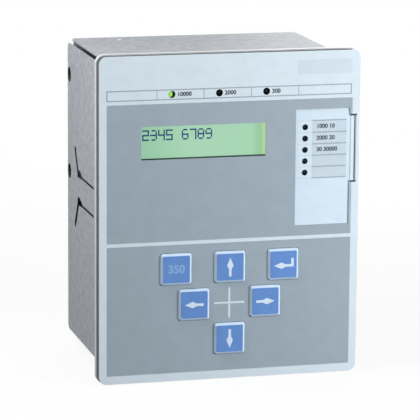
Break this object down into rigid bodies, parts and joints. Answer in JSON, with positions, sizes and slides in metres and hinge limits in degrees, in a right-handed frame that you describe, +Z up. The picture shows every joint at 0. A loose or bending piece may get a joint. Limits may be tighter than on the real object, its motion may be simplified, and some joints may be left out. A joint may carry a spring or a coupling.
{
  "type": "protection relay",
  "caption": "Flush-mounted protection relay: folded sheet-steel case with a moulded front carrying a display, lamps, a pull-out legend card and push keys, and rear terminals.",
  "frame": {"origin": "centre of the bounding box at the height of the front frame's bottom edge", "axes": "+Z up the front, front face towards -Y, terminals towards +Y, +X to the right as seen from the front"},
  "size_m": [0.132, 0.1128, 0.1628],
  "materials": {
    "film_pale": "satin printed film",
    "film_grey": "satin printed film",
    "clear_film": "clear film",
    "legend_card": "matt printed card",
    "fascia_grey": "fine moulded texture",
    "frame_light": "fine moulded texture",
    "gasket": "closed-cell rubber",
    "zinc_screw": "zinc plated",
    "black_plastic": "moulded",
    "display_glass": "back-lit green",
    "backlight": "diffuser",
    "circuit_board": "solder mask",
    "nylon": "natural",
    "lamp_green": "lit lens",
    "lamp_dark": "dark lens",
    "key_pale": "satin",
    "key_blue": "satin printed inlay",
    "zinc_sheet": "zinc-coated sheet",
    "plated_brass": "turned",
    "transformer_core": "varnished laminations",
    "coil_blue": "cast resin",
    "capacitor_sleeve": "shrink sleeve",
    "terminal_green": "moulded",
    "ribbon_grey": "flexible"
  },
  "bodies": {
    "relay": {"front_film": "film_pale", "display_field": "film_grey", "keypad_field": "film_grey", "display_window": "clear_film", "card_window": "clear_film", "fascia": "fascia_grey", "front_frame": "frame_light", "panel_gasket": "gasket", "fascia_screws": "zinc_screw", "frame_screws": "zinc_screw", "lcd_frame": "black_plastic", "lcd_glass": "display_glass", "lcd_backlight": "backlight", "lcd_board": "circuit_board", "lcd_spacers": "nylon", "ready_led": "lamp_green", "status_leds": "lamp_dark", "alarm_leds": "lamp_dark", "hmi_board": "circuit_board", "hmi_screws": "zinc_screw", "key_switches": "black_plastic", "case_shell": "zinc_sheet", "base_screws": "zinc_screw", "low_pillars": "plated_brass", "high_pillars": "plated_brass", "pillar_screws": "zinc_screw", "io_board": "circuit_board", "processor_chip": "black_plastic", "output_relays": "black_plastic", "power_transformer": "transformer_core", "supply_capacitors": "capacitor_sleeve", "io_sockets": "terminal_green", "ct_board": "circuit_board", "current_transformers": "coil_blue", "ct_terminal_block": "black_plastic", "ct_terminal_screws": "zinc_screw", "ct_block_screws": "zinc_screw", "ribbon_headers": "black_plastic", "ribbon_cables": "ribbon_grey", "earth_stud": "plated_brass", "earth_washer": "zinc_screw", "earth_nut": "zinc_screw"},
    "key_esc_body": {"key_esc": "key_pale", "inlay_esc": "key_blue"},
    "key_up_body": {"key_up": "key_pale", "inlay_up": "key_blue"},
    "key_enter_body": {"key_enter": "key_pale", "inlay_enter": "key_blue"},
    "key_left_body": {"key_left": "key_pale", "inlay_left": "key_blue"},
    "key_right_body": {"key_right": "key_pale", "inlay_right": "key_blue"},
    "key_down_body": {"key_down": "key_pale", "inlay_down": "key_blue"},
    "card": {"legend_card": "legend_card"},
    "plug_left": {"io_plug_left": "terminal_green", "plug_screws_left": "zinc_screw"},
    "plug_right": {"io_plug_right": "terminal_green", "plug_screws_right": "zinc_screw"}
  },
  "joints": [
    {"name": "key_esc_press", "type": "slide", "parent": "relay", "child": "key_esc_body", "axis": [0, 1, 0], "range_m": [0, 0.0008], "stiffness_N_per_m": 2000},
    {"name": "key_up_press", "type": "slide", "parent": "relay", "child": "key_up_body", "axis": [0, 1, 0], "range_m": [0, 0.0008], "stiffness_N_per_m": 2000},
    {"name": "key_enter_press", "type": "slide", "parent": "relay", "child": "key_enter_body", "axis": [0, 1, 0], "range_m": [0, 0.0008], "stiffness_N_per_m": 2000},
    {"name": "key_left_press", "type": "slide", "parent": "relay", "child": "key_left_body", "axis": [0, 1, 0], "range_m": [0, 0.0008], "stiffness_N_per_m": 2000},
    {"name": "key_right_press", "type": "slide", "parent": "relay", "child": "key_right_body", "axis": [0, 1, 0], "range_m": [0, 0.0008], "stiffness_N_per_m": 2000},
    {"name": "key_down_press", "type": "slide", "parent": "relay", "child": "key_down_body", "axis": [0, 1, 0], "range_m": [0, 0.0008], "stiffness_N_per_m": 2000},
    {"name": "card_slide", "type": "slide", "parent": "relay", "child": "card", "axis": [1, 0, 0], "range_m": [0, 0.036]},
    {"name": "plug_left_pull", "type": "slide", "parent": "relay", "child": "plug_left", "axis": [0, 1, 0], "range_m": [0, 0.02]},
    {"name": "plug_right_pull", "type": "slide", "parent": "relay", "child": "plug_right", "axis": [0, 1, 0], "range_m": [0, 0.02]}
  ]
}
